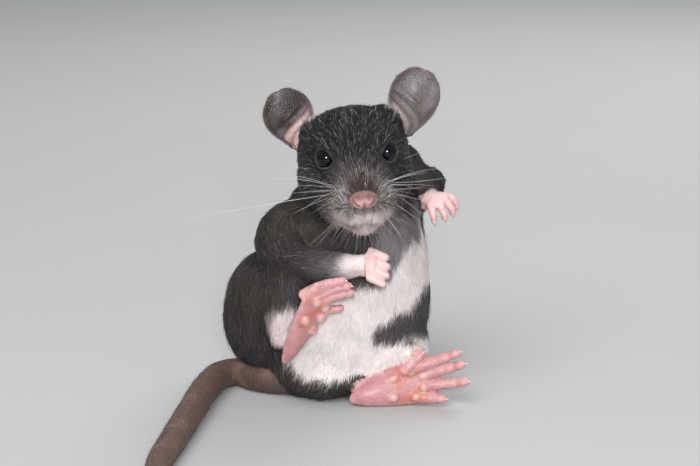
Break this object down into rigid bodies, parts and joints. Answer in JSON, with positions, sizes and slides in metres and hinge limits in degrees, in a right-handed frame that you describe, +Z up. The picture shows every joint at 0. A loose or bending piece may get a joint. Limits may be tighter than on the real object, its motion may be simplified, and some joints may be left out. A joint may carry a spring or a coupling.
{
  "type": "rat model",
  "caption": "Life-size still model of a young pet rat that leans back on its rump, one hind foot and one forefoot raised, tail curled forward on the floor.",
  "frame": {"origin": "centre of the bounding box, at the floor the rat sits on", "axes": "-Y the way the rat faces, +X the rat's left side, +Z up. The tail makes Y the longest extent"},
  "size_m": [0.0838, 0.1206, 0.0895],
  "materials": {
    "coat": "short dark coat with a white belly",
    "ear_skin": "thin bare skin, satin",
    "eye": "wet black gloss",
    "foot_skin": "bare pink skin, satin",
    "tail_skin": "bare ringed skin, matt"
  },
  "bodies": {
    "root": {"head": "coat", "neck": "coat", "torso": "coat", "ear_left": "ear_skin", "ear_right": "ear_skin", "eye_left": "eye", "eye_right": "eye", "foreleg_left": "coat", "foreleg_right": "coat", "hand_left": "foot_skin", "hand_right": "foot_skin", "hind_leg_left": "coat", "hind_leg_right": "coat", "foot_left": "foot_skin", "foot_right": "foot_skin", "tail_root": "tail_skin", "tail_middle": "tail_skin", "tail_tip": "tail_skin"}
  },
  "joints": []
}
